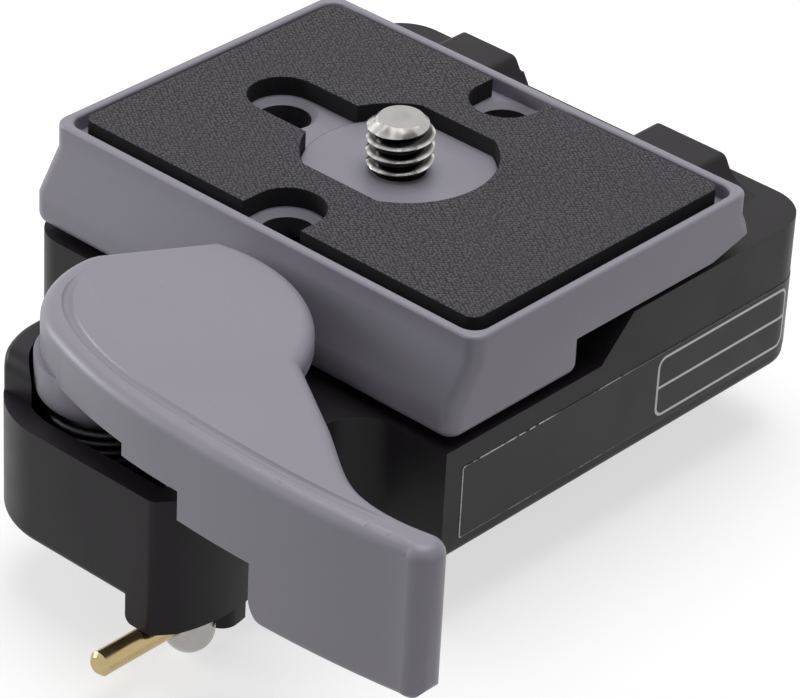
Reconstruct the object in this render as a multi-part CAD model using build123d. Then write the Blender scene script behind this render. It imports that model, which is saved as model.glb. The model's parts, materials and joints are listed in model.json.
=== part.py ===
from build123d import *
import os
from math import cos, radians, sin, sqrt

# Quick release plate for a camera, closed on its base. Sizes are in millimetres.
# X runs along the plate, Y across it towards the claws, Z up.
# The origin is on the base's bottom face, in line with the camera screw.

# Base casting. Its ends and sides lie this far outside the plate.
end_ledge = 0.15
near_ledge = 3.1
far_ledge = 7.9
base_corner = 4.7
base_near_corner = 4.0
floor_thick = 7.5
wall_top = 11.5
shelf_rise = 4.0
slope_start_y = -1.4
slope_run = 4.2
end_wall = 3.6
near_wall = 2.6
far_wall = 9.5
claw_rise = 2.75
claw_back_in = 2.1
left_claw = (-16.4, -9.5)
right_claw = (8.4, 16.8)
claw_foot_in = 1.6
claw_foot_out = 4.2
claw_foot_bend = (0.3, 0.15)
claw_round = 0.9
claw_foot_round = 3.0
valley_drop = 1.25
bottom_round = 0.9
seat_pad = 1.1
seat_pad_in = 1.4
seat_pad_end = -5.5
seat_pad_far = 5.0
pocket_corner = 3.0

# Camera plate
plate_length = 52.5
plate_top_width = 37.8
plate_height = 9.6
plate_lip = 2.4
flare_out = 2.5
flare_drop = 3.8
plate_corner = 1.6
plate_hem = 1.2
rim_wall = 1.0
rim_depth = 1.6
plate_web = 2.6
skirt_wall = 2.6
plate_seat_gap = 0.5
plate_step_y = -4.2
plate_step_rise = 3.9
plate_notch_length = 6.25
plate_notch_run = 4.9
plate_notch_rise = 1.4
plate_step_round = 1.2
land_radius = 9.1
land_rise = 0.3
side_hole_radius = 2.65
side_hole_in = 4.2
side_hole_bevel = 0.6
rim_round = 0.35

# Rubber pad
pad_gap = 1.0
pad_thick = 2.0
pad_corner = 1.2
pad_slot_half = 3.5
pad_bridge = 3.3
pad_land_gap = 0.1

# Camera screw, a 1/4 inch thread with a thinner neck in the plate, and its ring
screw_radius = 3.175
screw_stand = 5.7
screw_chamfer = 0.8
neck_radius = 2.5
neck_rise = 0.3
screw_head_radius = 7.0
screw_head_thick = 3.6
screw_slot_width = 1.8
screw_slot_depth = 0.8
head_round = 0.5
washer_thick = 0.5
screw_washer_radius = 6.0
ring_wire = 0.9
ring_play = 0.2
ring_side_gap = 0.4
ring_corner = 1.2
ring_run = 3.0

# Lever. The cam's middle is a little off the pivot, and its release flat is eased by this much.
pivot_x = -0.5
lever_top = 20.2
lever_thick = 4.6
cam_offset_x = 1.4
cam_offset_y = -0.3
cam_radius = 17.0
cam_ease = 0.7
cam_clear = 1.0
cam_gap = 0.15
cam_flat_angle = 102.4
cam_middle_angle = 62.0
cam_cusp_angle = 23.1
bevel_start = (-4.9, 6.9)
bevel_out = 9.0
bevel_rise = 3.0
lever_round = 1.3
hub_radius = 6.5
hub_drop = 4.1
hub_round = 2.0
stem_radius = 4.0
skirt_thick = 3.3
skirt_widen = 7.6
neck_run = 10.7
skirt_run = 17.8
handle_run = 26.4
neck_drop = 1.3
skirt_drop = 4.2
handle_drop = 10.2
handle_round = 1.8
handle_front_round = 2.6
handle_edge = 0.8
groove_inset = 2.2
groove_radius = 0.55
groove_deep = 0.3
groove_fade = 0.36
groove_tip_in = 1.0
groove_heel_in = [(1.0, 2.1), (1.75, 1.4), (2.2, -2.0)]

# Lever's plan from its pivot, clockwise from the cam's cusp
neck_end = (24.9, 1.4)
inner_side = [(29.4, -1.8), (33.5, -4.1), (38.1, -4.7)]
tip_inner = (41.9, -4.2)
inner_tangents = ((7.8, -5.0), (4, 0.8))
tip = (44.3, -6.0)
tip_outer = (42.1, -7.9)
outer_middle = (30.5, -9.2)
flank_start = (17.5, -9.2)
flank_middle = (8.5, -8.5)
heel_start = (-0.5, -6.2)
heel_middle = (-6.4, -1.7)
heel_end = (-8.2, 5.2)
flat_start = (-7.9, 6.2)

# Lever's screw, washers and torsion spring
pivot_recess = 3.2
pivot_washer_radius = 5.0
pivot_washer_thick = 0.8
pivot_head_radius = 3.6
pivot_head_thick = 1.8
pivot_shank = 1.6
pivot_shank_length = 9.0
pivot_socket = 1.5
pivot_socket_floor = 0.7
pivot_end_gap = 0.5
thrust_thick = 0.5
lever_spring_wire = 0.55
lever_spring_mean = 5.2
lever_spring_turns = 5

# Cup of the base, round the lever's hub
cup_wall = 2.2
cup_gap = 0.4
cup_floor = 5.0
cup_join = 4.0
cup_cavity_end = 3.4
nose_reach = 17.0
nose_out = 9.0
nose_back = 4.2
nose_round = 0.8
nose_flat = 2.4
nose_corner = (-1.0, 1.8)
nose_middle = (0, 6.5)
nose_end = (-0.5, 11.0)
nose_edge = 1.0
foot_start = 0.9
foot_end = 4.1
foot_side = 1.0
foot_inset = 0.4
foot_round = 0.5
foot_corner = 1.6
ear_rise = 3.8
ear_round = 1.8
ear_angle = 42.0
ear_edge = 0.8

# Fits
running = 0.075
seated = 0.03
turning_gap = 0.1
face_gap = 0.3
recess_gap = 0.4

# Safety catch, beside the lever's pivot
catch_in = 3.6
catch_out = 2.9
catch_stem = 1.8
catch_head = 2.35
catch_head_top = 2.4
catch_dome_center = -5.0
nose_drop = 2.4
foot_drop = 4.6
catch_pin = 1.15
catch_pin_gap = 0.05
catch_pin_reach = 11.2
catch_pin_depth = 1.6
catch_pin_chamfer = 0.35
catch_spring_wire = 0.28
catch_spring_mean = 2.28
catch_spring_turns = 5
catch_well = 2.75
clip_thick = 0.5
catch_clip_z = 10.9
catch_clip_radius = 2.6
catch_clip_opening = 2.4

# Trigger pin under the plate's near skirt
trigger_x = -7.0
trigger_in = 2.4
trigger_stem = 1.0
trigger_head = 1.6
trigger_head_thick = 1.7
trigger_well_gap = 0.2
trigger_floor = 4.0
trigger_recess = 2.4
trigger_clip_z = 0.9
trigger_clip_radius = 2.2
trigger_clip_opening = 1.1
trigger_spring_wire = 0.22
trigger_spring_turns = 6
groove_depth = 0.35

# Tripod threads
bush_outer = 7.0
bush_bore = 4.76
bush_depth = 6.5
reducer_bore = 3.175
reducer_slot_width = 1.4
reducer_slot_depth = 1.0

# Edges of the turned parts
small_edge = 0.4

# How far joined bodies lap, and the length of tools that cut right through
lap = 0.5
beyond = 60.0

# Places and heights that follow
shelf_top = wall_top + shelf_rise
plate_bottom = wall_top + plate_seat_gap
plate_top = plate_bottom + plate_height
web_top = plate_top - rim_depth
web_bottom = web_top - plate_web
half_top = plate_top_width / 2
half_wide = half_top + flare_out
base_length = plate_length + 2 * end_ledge
base_near = half_top + near_ledge
base_far = half_wide + far_ledge
side_hole_pitch = half_top - side_hole_in
land_flat = side_hole_pitch - pad_slot_half - pad_bridge
cam_center_x = pivot_x + cam_offset_x
cam_center_y = -(half_top + cam_clear + cam_radius)
pivot_y = cam_center_y - cam_offset_y
cup_east = pivot_x + nose_reach
nose_tip_y = pivot_y - nose_out
catch_x = cup_east - catch_in
catch_y = pivot_y - catch_out
trigger_y = -(half_wide - trigger_in)
neck_x = pivot_x + neck_run
skirt_x = pivot_x + skirt_run
handle_x = pivot_x + handle_run
lip_bottom = plate_top - plate_lip
flare_bottom = lip_bottom - flare_drop
lever_bottom = lever_top - lever_thick
hub_bottom = lever_bottom - hub_drop
neck_bottom = lever_bottom - neck_drop
cup_radius = hub_radius + cup_gap + cup_wall
ear_top = wall_top + ear_rise
flare_slope = flare_out / flare_drop
screw_top = web_top + screw_stand
head_top = web_bottom - washer_thick - turning_gap
head_bottom = head_top - screw_head_thick
ring_z = (head_top + head_bottom + screw_slot_depth) / 2
stem_bottom = pivot_recess - turning_gap
catch_tip = neck_bottom - face_gap
catch_pin_z = -nose_drop - catch_pin_gap - catch_pin
trigger_top = plate_bottom - turning_gap


def save(shape, name):
    export_step(shape, f"parts/{name}.step")


def block(x0, x1, y0, y1, z0, z1):
    """A box between two corners."""
    return Pos((x0 + x1) / 2, (y0 + y1) / 2, (z0 + z1) / 2) * Box(x1 - x0, y1 - y0, z1 - z0)


def rod(x, y, z0, z1, radius):
    """An upright cylinder."""
    return Pos(x, y, (z0 + z1) / 2) * Cylinder(radius, z1 - z0)


def tube(x, y, z0, z1, outer, inner):
    return rod(x, y, z0, z1, outer) - rod(x, y, z0 - 1, z1 + 1, inner)


def prism_x(points, x0, x1):
    """A Y-Z outline run along X."""
    face = make_face(Polyline(*[(0, y, z) for y, z in points], close=True))
    return Pos(x0, 0, 0) * extrude(face, amount=x1 - x0, dir=(1, 0, 0))


def prism_y(points, y0, y1):
    """An X-Z outline run along Y."""
    face = make_face(Polyline(*[(x, 0, z) for x, z in points], close=True))
    return Pos(0, y0, 0) * extrude(face, amount=y1 - y0, dir=(0, 1, 0))


def prism_z(face, z0, z1):
    return Pos(0, 0, z0) * extrude(face, amount=z1 - z0, dir=(0, 0, 1))


def coil(x, y, z0, z1, mean, wire, turns):
    """A wire spring between two heights, its ends closed on the wire's own radius."""
    rise = z1 - z0 - 2 * wire
    path = Helix(pitch=rise / turns, height=rise, radius=mean)
    section = Plane(origin=path @ 0, z_dir=path % 0) * RegularPolygon(wire, 6)
    return Pos(x, y, z0 + wire) * sweep(section, path=path, is_frenet=True)


def corner_edges(body, half_x, half_y):
    """The upright and slanting edges at a block's four corners."""
    return [e for e in body.edges()
            if abs(abs(e.center().X) - half_x) < 0.01 and abs(e.center().Y) > half_y - 0.1
            and abs((e @ 0).Z - (e @ 1).Z) > 0.1]


def plate_shape():
    """The dovetail section along X, stepped and notched on the far side."""
    half = plate_length / 2
    section = [
        (-half_top, plate_top), (-half_top, lip_bottom), (-half_wide, flare_bottom),
        (-half_wide, plate_bottom), (half_wide, plate_bottom), (half_wide, flare_bottom),
        (half_top, lip_bottom), (half_top, plate_top),
    ]
    body = prism_x(section, -half, half)
    body = fillet(corner_edges(body, half, half_top), plate_corner)
    body = fillet(body.edges().group_by(Axis.Z)[0], plate_hem)
    far_bottom = plate_bottom + plate_step_rise
    body -= block(-half - 1, half + 1, plate_step_y, half_wide + 1, plate_bottom - 1, far_bottom)
    step = [e for e in body.edges().filter_by(Axis.X)
            if abs(e.center().Y - plate_step_y) < 0.01 and e.center().Z < plate_bottom + 0.01]
    body = fillet(step, plate_step_round)
    for side in (-1, 1):
        x0, x1 = sorted((side * (half - plate_notch_length), side * (half + 1)))
        body -= block(x0, x1, half_top, half_wide + 1, plate_bottom - 1, plate_top)
        body -= prism_x(
            [(half_top - plate_notch_run, far_bottom), (half_top + 1, far_bottom + plate_notch_rise),
             (half_top + 1, far_bottom - 1), (half_top - plate_notch_run, far_bottom - 1)], x0, x1)
    return body


def make_camera_plate():
    half = plate_length / 2
    body = plate_shape()
    rim = RectangleRounded(plate_length - 2 * rim_wall, plate_top_width - 2 * rim_wall, plate_corner)
    body -= prism_z(rim, web_top, plate_top + 1)
    body = fillet(body.edges().group_by(Axis.Z)[-1], rim_round)
    land = Circle(land_radius) & Rectangle(4 * land_radius, 2 * land_flat)
    body += prism_z(land, web_top, web_top + land_rise)
    inner_x = half - skirt_wall
    inner_y = half_top - skirt_wall / 2
    body -= prism_z(RectangleRounded(2 * inner_x, 2 * inner_y, plate_corner), plate_bottom - 1, web_bottom)
    body -= rod(0, 0, web_bottom - 1, web_top + 2, neck_radius + running)
    for x, y in hole_places():
        body -= rod(x, y, web_bottom - 1, web_top + 1, side_hole_radius)
        bevel = Cone(side_hole_radius, side_hole_radius + side_hole_bevel, side_hole_bevel,
                     align=(Align.CENTER, Align.CENTER, Align.MAX))
        body -= Pos(x, y, web_top) * bevel
    return body


def hole_places():
    return [(-side_hole_pitch, 0), (0, side_hole_pitch), (0, -side_hole_pitch)]


def make_rubber_pad():
    length = plate_length - 2 * (rim_wall + pad_gap)
    width = plate_top_width - 2 * (rim_wall + pad_gap)
    face = RectangleRounded(length, width, pad_corner)
    radius = land_radius + pad_land_gap
    face -= Circle(radius) & Rectangle(4 * radius, 2 * (land_flat + pad_land_gap))
    face -= Pos(-side_hole_pitch / 2, 0) * Rectangle(side_hole_pitch, 2 * pad_slot_half)
    for x, y in hole_places():
        face -= Pos(x, y) * Circle(pad_slot_half)
    for near, far in ((side_hole_pitch, beyond), (-beyond, -side_hole_pitch)):
        face -= sheet(near, far, -pad_slot_half, pad_slot_half)
    return prism_z(face, web_top, web_top + pad_thick)


def base_outline():
    """Plan of the base with its cup, rounded where the two meet."""
    block_face = Pos(0, (base_far - base_near) / 2) * Rectangle(base_length, base_near + base_far)
    block_face = fillet(block_face.vertices().group_by(Axis.Y)[-1], base_corner)
    block_face = fillet(block_face.vertices().group_by(Axis.Y)[0].sort_by(Axis.X)[0], base_near_corner)
    face = block_face + cup_plan()
    corner = base_length / 2 - base_near_corner - 1
    joins = [v for v in face.vertices() if abs(v.Y + base_near) < 0.01 and abs(v.X) < corner]
    return fillet(joins, cup_join)


def seat_profile():
    """The Y-Z outline above the low wall, the slope and the shelf."""
    return [
        (-beyond, wall_top), (slope_start_y, wall_top), (slope_start_y + slope_run, shelf_top),
        (beyond, shelf_top), (beyond, beyond), (-beyond, beyond),
    ]


def claw_outline(near, far):
    """Half of the far wall's top in X-Z, from the valley between the claws out to the shelf's end."""
    side = 1 if far > 0 else -1
    run_in = claw_foot_in * (claw_rise + valley_drop) / claw_rise
    bend_out, bend_up = claw_foot_bend
    return [
        (near - side * run_in, shelf_top - valley_drop),
        (near, shelf_top + claw_rise), (far, shelf_top + claw_rise),
        (far + side * claw_foot_out * bend_out, shelf_top + claw_rise * bend_up),
        (far + side * claw_foot_out, shelf_top),
        (side * beyond, shelf_top), (side * beyond, shelf_top - claw_rise),
    ]


def claw_profile():
    """The X-Z outline of the far wall's top: the shelf, and two claws that run out into it."""
    points = claw_outline(left_claw[1], left_claw[0])[::-1] + claw_outline(*right_claw)
    face = make_face(Polyline(*[(x, 0, z) for x, z in points], close=True))
    feet = [v for v in face.vertices() if right_claw[1] < abs(v.X) < beyond and v.Z > shelf_top - 0.5]
    face = fillet(feet, claw_foot_round)
    return fillet(face.vertices().group_by(Axis.Z)[-1], claw_round)


def make_claws():
    """Two claws on the far wall, which hook over the plate's flare."""
    claws = Pos(0, half_top + 1, 0) * extrude(claw_profile(), amount=beyond, dir=(0, 1, 0))
    reach = face_gap
    top = shelf_top + claw_rise
    hook = prism_x(
        [(half_top + reach, plate_top), (half_top + reach, lip_bottom), (half_wide + reach, flare_bottom),
         (half_wide + reach, shelf_top - 1), (0, shelf_top - 1), (0, plate_top)],
        -beyond, beyond)
    return claws - hook - block(-beyond, beyond, base_far - claw_back_in, beyond, shelf_top, top)


def make_valley(wider, start_y):
    """What is cut from the wall's top between the claws, from a place along Y outwards."""
    west, east = left_claw[1] + claw_foot_in - wider, right_claw[0] - claw_foot_in + wider
    run = claw_foot_in * valley_drop / claw_rise
    floor = shelf_top - valley_drop
    return prism_y([(west, shelf_top), (east, shelf_top), (east - run, floor), (west + run, floor)],
                   start_y, beyond)


def cup_outline():
    """Plan of the cup: round at the hub, square towards the nose."""
    west = pivot_x - cup_radius
    middle, start, end = [(cup_east + x, nose_tip_y + y) for x, y in (nose_middle, nose_corner, nose_end)]
    line = Polyline((west, 0), (west, pivot_y))
    round_west = ThreePointArc(
        (west, pivot_y),
        (pivot_x - cup_radius * cos(radians(45)), pivot_y - cup_radius * sin(radians(45))),
        (pivot_x, pivot_y - cup_radius))
    south_line = Polyline((pivot_x, pivot_y - cup_radius), (cup_east - nose_flat, nose_tip_y), start)
    nose = ThreePointArc(start, middle, end)
    east = Polyline(end, (end[0], 0), (west, 0))
    return make_face([*line.edges(), *round_west.edges(), *south_line.edges(), *nose.edges(), *east.edges()])


def cup_plan():
    """The cup's outline with the soft corner between its front and its nose."""
    face = cup_outline()
    corner = face.vertices().filter_by(lambda v: abs(v.X - cup_east + nose_flat) < 0.01)
    return fillet(corner, nose_edge)


def sheet(y0, y1, x0=-beyond, x1=beyond):
    """A flat rectangle in plan."""
    return Pos((x0 + x1) / 2, (y0 + y1) / 2) * Rectangle(x1 - x0, y1 - y0)


def make_ear():
    """The raised arc of the cup's wall behind the lever's hub."""
    inner = cup_radius - cup_wall
    ring = Pos(pivot_x, pivot_y) * (Circle(cup_radius) - Circle(inner))
    south = pivot_y - cup_radius * sin(radians(ear_angle))
    sweep_box = sheet(south, pivot_y, pivot_x - 2 * cup_radius, pivot_x)
    wall = Pos(pivot_x - cup_radius + cup_wall / 2, pivot_y / 2 - base_near / 2) * Rectangle(
        cup_wall, abs(pivot_y) - base_near)
    ear = prism_z((ring & sweep_box) + wall, wall_top - lap, ear_top)
    tip = ear.edges().filter_by(GeomType.LINE).group_by(Axis.Z)[-1].sort_by(Axis.Y)[0]
    ear = fillet(tip, ear_round)
    rim = [e for e in ear.edges().filter_by(GeomType.LINE) if e.center().Z > ear_top - 0.01
           and abs(e.center().X - pivot_x) > cup_radius - 0.1]
    return fillet(rim, ear_edge)


def make_seat_pads():
    """Low pads that carry the plate, on the end walls and on the shelf."""
    x1 = plate_length / 2 - plate_hem - face_gap
    y0 = -half_top + seat_pad_in
    pads = block(-seat_pad_far, seat_pad_far, half_wide - face_gap - 1.5 * seat_pad, half_wide - face_gap,
                 shelf_top - 1, plate_bottom + plate_step_rise)
    for side in (-1, 1):
        near, far = sorted((side * (x1 - seat_pad), side * x1))
        pads += block(near, far, y0, seat_pad_end, wall_top - 1, plate_bottom)
    return pads


def make_nose():
    """The nose below the base's bottom, and the foot behind the plunger."""
    plan = cup_plan() & sheet(-beyond, catch_y + nose_back, catch_x - catch_stem, beyond)
    nose = prism_z(plan, -nose_drop, bottom_round + 0.1)
    nose = fillet(nose.edges().group_by(Axis.Z)[0].sort_by(Axis.X)[0], nose_round)
    plan = offset(cup_outline(), -foot_inset) & sheet(
        catch_y + foot_start, catch_y + foot_end, catch_x - foot_side, beyond)
    corner = plan.vertices().group_by(Axis.Y)[0].sort_by(Axis.X)[-1]
    foot = prism_z(fillet(corner, foot_corner), -foot_drop, lap)
    foot = fillet(foot.edges().group_by(Axis.Z)[0].sort_by(Axis.X)[0], foot_round)
    return nose + foot


def make_base_body():
    slab = prism_z(base_outline(), 0, shelf_top + claw_rise)
    cup_bottom = [e for e in slab.edges().group_by(Axis.Z)[0]
                  if e.center().Y < -base_near - 1 and e.center().X < catch_x - catch_stem]
    slab = fillet(cup_bottom, bottom_round)
    body = slab - (prism_x(seat_profile(), -beyond, beyond) - make_claws())
    body -= make_valley(0, half_wide + 2 * face_gap)
    body -= make_valley(claw_back_in, base_far - claw_back_in)
    body += make_ear()
    # Pocket under the plate
    half = base_length / 2 - end_wall
    depth = base_near - near_wall + base_far - far_wall
    pocket = Pos(0, (base_far - far_wall - base_near + near_wall) / 2) * RectangleRounded(
        2 * half, depth, pocket_corner)
    body -= prism_z(pocket, floor_thick, beyond)
    body += make_seat_pads()
    # Cavity of the cup
    cavity = offset(cup_outline(), -cup_wall, kind=Kind.INTERSECTION)
    body -= prism_z(cavity & sheet(-beyond, -base_near - cup_cavity_end), cup_floor, beyond)
    body += make_nose()
    body -= rod(catch_x, catch_y, -foot_drop - 1, catch_head_top + face_gap, catch_head + turning_gap)
    body -= rod(catch_x, catch_y, 0, cup_floor + 1, catch_stem + running)
    body -= rod(catch_x, catch_y, cup_floor, beyond, catch_well)
    # Lever's bore and its screw's recess
    body -= rod(pivot_x, pivot_y, -1, cup_floor + 1, stem_radius + running)
    body -= rod(pivot_x, pivot_y, -1, pivot_recess, pivot_washer_radius + recess_gap)
    # Trigger's bore, its spring's well and its clip's recess
    body -= rod(trigger_x, trigger_y, -1, wall_top + 1, trigger_stem + running)
    body -= rod(trigger_x, trigger_y, trigger_floor, wall_top + 1, trigger_head + trigger_well_gap)
    body -= rod(trigger_x, trigger_y, -1, trigger_recess, trigger_clip_radius + trigger_well_gap)
    # Tripod bushing's seat
    body -= rod(0, 0, -1, bush_depth, bush_outer + seated)
    return body


def from_pivot(point):
    return (pivot_x + point[0], pivot_y + point[1])


def on_cam(angle, radius):
    return (cam_center_x + radius * cos(radians(angle)), cam_center_y + radius * sin(radians(angle)))


def shifted(point):
    """A point of the outer side moved in to the groove."""
    return (point[0], point[1] + groove_inset)


def arc(*points):
    """An arc through three places given from the pivot."""
    return ThreePointArc(*[from_pivot(point) for point in points])


def lever_outline():
    """Plan of the lever: release flat, cam, neck, handle and the long outer side."""
    flat_end = on_cam(cam_flat_angle, cam_radius - cam_ease)
    cusp = on_cam(cam_cusp_angle, cam_radius)
    cam = ThreePointArc(flat_end, on_cam(cam_middle_angle, cam_radius), cusp)
    neck = Line(cusp, from_pivot(neck_end))
    inner = Spline(*[from_pivot(point) for point in (neck_end, *inner_side, tip_inner)],
                   tangents=inner_tangents)
    end = arc(tip_inner, tip, tip_outer)
    outer = arc(tip_outer, outer_middle, flank_start)
    flank = arc(flank_start, flank_middle, heel_start)
    heel = arc(heel_start, heel_middle, heel_end)
    flat = Polyline(from_pivot(heel_end), from_pivot(flat_start), flat_end)
    return make_face([*cam.edges(), *neck.edges(), *inner.edges(), *end.edges(), *outer.edges(),
                      *flank.edges(), *heel.edges(), *flat.edges()])


def rounded_profile(x0, x1, z0, z1, left, right):
    """An X-Z sheet whose two lower corners are rounded, run along Y."""
    face = Pos((x0 + x1) / 2, (z0 + z1) / 2) * Rectangle(x1 - x0, z1 - z0)
    low = face.vertices().group_by(Axis.Y)[0].sort_by(Axis.X)
    face = fillet(low[0], left)
    face = fillet(face.vertices().group_by(Axis.Y)[0].sort_by(Axis.X)[-1], right)
    return extrude(Plane.XZ * face, amount=beyond)


def skirt_plan(x0, x1):
    """The outer side's wall seen from above, between two places along X."""
    inner_y = nose_tip_y + skirt_thick
    wall = sheet(-beyond, inner_y, x0, x1)
    if x1 > handle_x + skirt_widen:
        wall += make_face(Polyline(
            (handle_x + skirt_widen, inner_y), (handle_x + skirt_widen + skirt_thick, inner_y + skirt_thick),
            (x1, inner_y + skirt_thick), (x1, inner_y), close=True))
    return lever_outline() & wall


def make_cam_bevel():
    """What the cam's underside loses, so that it lies along the plate's flare."""
    bottom_reach = -half_top - flare_slope * (lip_bottom - lever_bottom) - cam_gap - cam_center_y
    low = (bottom_reach - flare_slope, 0, lever_bottom - 1)
    high = (bottom_reach + bevel_rise * flare_slope, 0, lever_bottom + bevel_rise)
    out = cam_radius + bevel_out
    cut = Polyline(low, high, (out, 0, lever_bottom + bevel_rise), (out, 0, lever_bottom - 1), close=True)
    ring = Pos(cam_center_x, cam_center_y, 0) * revolve(make_face(cut), axis=Axis.Z)
    return ring & block(cam_center_x + bevel_start[0], beyond, cam_center_y + bevel_start[1], 0, 0, beyond)


def make_crease():
    """The shallow groove beside the rounded outer edge, fading out at the heel and at the tip."""
    level = lever_top + groove_radius - groove_deep
    sides = (heel_start, heel_middle, heel_end)
    heel = [(x + dx, y + dy) for (x, y), (dx, dy) in zip(sides, groove_heel_in)]
    plan = [
        (*shifted((tip_outer[0] - groove_tip_in, tip_outer[1])), groove_fade), (*shifted(outer_middle), 0),
        (*shifted(flank_start), 0), (*shifted(flank_middle), 0), (*heel[0], 0), (*heel[1], 0),
        (*heel[2], groove_fade),
    ]
    path = Spline(*[(*from_pivot((x, y)), level + rise) for x, y, rise in plan])
    section = Plane(origin=path @ 0, z_dir=path % 0) * Circle(groove_radius)
    return sweep(section, path=path)


def make_lever():
    body = prism_z(lever_outline(), lever_bottom, lever_top)
    body = fillet(body.edges().group_by(Axis.Z)[-1], lever_round)
    body -= make_crease()
    body -= make_cam_bevel()
    # Skirt along the outer side, stepped down towards the handle
    top = lever_bottom + lap
    body += prism_z(skirt_plan(neck_x, skirt_x + lap), neck_bottom, top)
    body += prism_z(skirt_plan(skirt_x, handle_x + lap), lever_bottom - skirt_drop, top)
    deep = prism_z(skirt_plan(skirt_x, beyond), lever_bottom - handle_drop, top)
    deep = fillet(deep.edges().group_by(Axis.Z)[0], handle_edge)
    body += deep & rounded_profile(handle_x, pivot_x + tip[0], lever_bottom - handle_drop, lever_top,
                                   handle_front_round, handle_round)
    # Hub and stem on the pivot
    hub = rod(pivot_x, pivot_y, hub_bottom, top, hub_radius)
    body += fillet(hub.edges().group_by(Axis.Z)[0], hub_round)
    body += rod(pivot_x, pivot_y, stem_bottom, hub_bottom + lap, stem_radius)
    body -= rod(pivot_x, pivot_y, 0, stem_bottom + pivot_shank_length + pivot_end_gap, pivot_shank + seated)
    return body


def make_pivot_screw():
    head_top_z = stem_bottom - pivot_washer_thick
    head = rod(pivot_x, pivot_y, head_top_z - pivot_head_thick, head_top_z, pivot_head_radius)
    head = fillet(head.edges().group_by(Axis.Z)[0], head_round)
    shank = rod(pivot_x, pivot_y, head_top_z - lap, stem_bottom + pivot_shank_length, pivot_shank)
    shank = chamfer(shank.edges().group_by(Axis.Z)[-1], small_edge)
    socket = Pos(pivot_x, pivot_y, 0) * prism_z(
        RegularPolygon(pivot_socket, 6), head_top_z - pivot_head_thick - 1, head_top_z - pivot_socket_floor)
    return head + shank - socket


def make_lever_spring():
    return coil(pivot_x, pivot_y, cup_floor + thrust_thick, hub_bottom - face_gap,
                lever_spring_mean, lever_spring_wire, lever_spring_turns)


def make_camera_screw():
    shaft = rod(0, 0, web_top + land_rise + neck_rise, screw_top, screw_radius)
    shaft = chamfer(shaft.edges().group_by(Axis.Z)[-1], screw_chamfer)
    neck = rod(0, 0, head_top - lap, web_top + land_rise + neck_rise + lap, neck_radius)
    head = rod(0, 0, head_bottom, head_top, screw_head_radius)
    head = fillet(head.edges().group_by(Axis.Z)[0] + head.edges().group_by(Axis.Z)[-1], head_round)
    slot = block(-screw_slot_width / 2, screw_slot_width / 2, -beyond, beyond, head_bottom - 1,
                 head_bottom + screw_slot_depth)
    bore = Pos(0, 0, ring_z) * Rot(0, 90, 0) * Cylinder(ring_wire + ring_play, beyond)
    return shaft + neck + (head - slot - bore)


def make_d_ring():
    """Closed wire ring: the straight leg in the head's cross hole, the bow round the head."""
    side = screw_head_radius + ring_side_gap + ring_wire
    bend = ring_corner * (1 - sqrt(0.5))
    straight = side - ring_corner
    path = Wire([
        Line((-straight, 0), (straight, 0)).edge(),
        ThreePointArc((straight, 0), (side - bend, -bend), (side, -ring_corner)).edge(),
        Line((side, -ring_corner), (side, -ring_run)).edge(),
        ThreePointArc((side, -ring_run), (0, -ring_run - side), (-side, -ring_run)).edge(),
        Line((-side, -ring_run), (-side, -ring_corner)).edge(),
        ThreePointArc((-side, -ring_corner), (-side + bend, -bend), (-straight, 0)).edge(),
    ])
    section = Plane(origin=path @ 0, z_dir=path % 0) * Circle(ring_wire)
    return Pos(0, 0, ring_z) * sweep(section, path=path)


def snap_clip(x, y, z, outer, inner, opening):
    """Open retaining ring, its gap towards the east."""
    ring = tube(x, y, z, z + clip_thick, outer, inner)
    return ring - block(x, x + 2 * outer, y - opening / 2, y + opening / 2, z - 1, z + 1)


def make_safety_plunger():
    stem = rod(catch_x, catch_y, 0, catch_tip, catch_stem)
    stem = chamfer(stem.edges().group_by(Axis.Z)[-1], small_edge)
    head = rod(catch_x, catch_y, catch_dome_center, catch_head_top, catch_head)
    head = chamfer(head.edges().group_by(Axis.Z)[-1], small_edge)
    dome = Pos(catch_x, catch_y, catch_dome_center) * Sphere(catch_head)
    groove = tube(catch_x, catch_y, catch_clip_z - seated, catch_clip_z + clip_thick + seated,
                  catch_stem + 1, catch_stem - groove_depth)
    return stem + head + dome - groove - pin_rod(catch_pin + seated, catch_pin_depth + seated, beyond)


def pin_rod(radius, depth, reach):
    """A rod along Y at the cross pin's height, from inside the plunger outwards."""
    length = depth + reach
    return Pos(catch_x, catch_y + depth - length / 2, catch_pin_z) * Rot(90, 0, 0) * Cylinder(radius, length)


def make_safety_pin():
    pin = pin_rod(catch_pin, catch_pin_depth, catch_pin_reach)
    return chamfer(pin.edges().group_by(Axis.Y)[0], catch_pin_chamfer)


def make_trigger_pin():
    head_low = trigger_top - trigger_head_thick
    head = rod(trigger_x, trigger_y, head_low, trigger_top, trigger_head)
    head = fillet(head.edges().group_by(Axis.Z)[-1], small_edge)
    stem = rod(trigger_x, trigger_y, trigger_clip_z - 0.2, head_low + lap, trigger_stem)
    groove = tube(trigger_x, trigger_y, trigger_clip_z - seated, trigger_clip_z + clip_thick + seated,
                  trigger_stem + 1, trigger_stem - groove_depth)
    return head + stem - groove


def make_trigger_spring():
    mean = (trigger_stem + running + trigger_head + trigger_well_gap) / 2
    return coil(trigger_x, trigger_y, trigger_floor, trigger_top - trigger_head_thick,
                mean, trigger_spring_wire, trigger_spring_turns)


def make_reducer_bushing():
    body = tube(0, 0, 0, bush_depth, bush_bore - seated, reducer_bore)
    half = reducer_slot_width / 2
    return body - block(-beyond, beyond, -half, half, -1, reducer_slot_depth)


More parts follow.
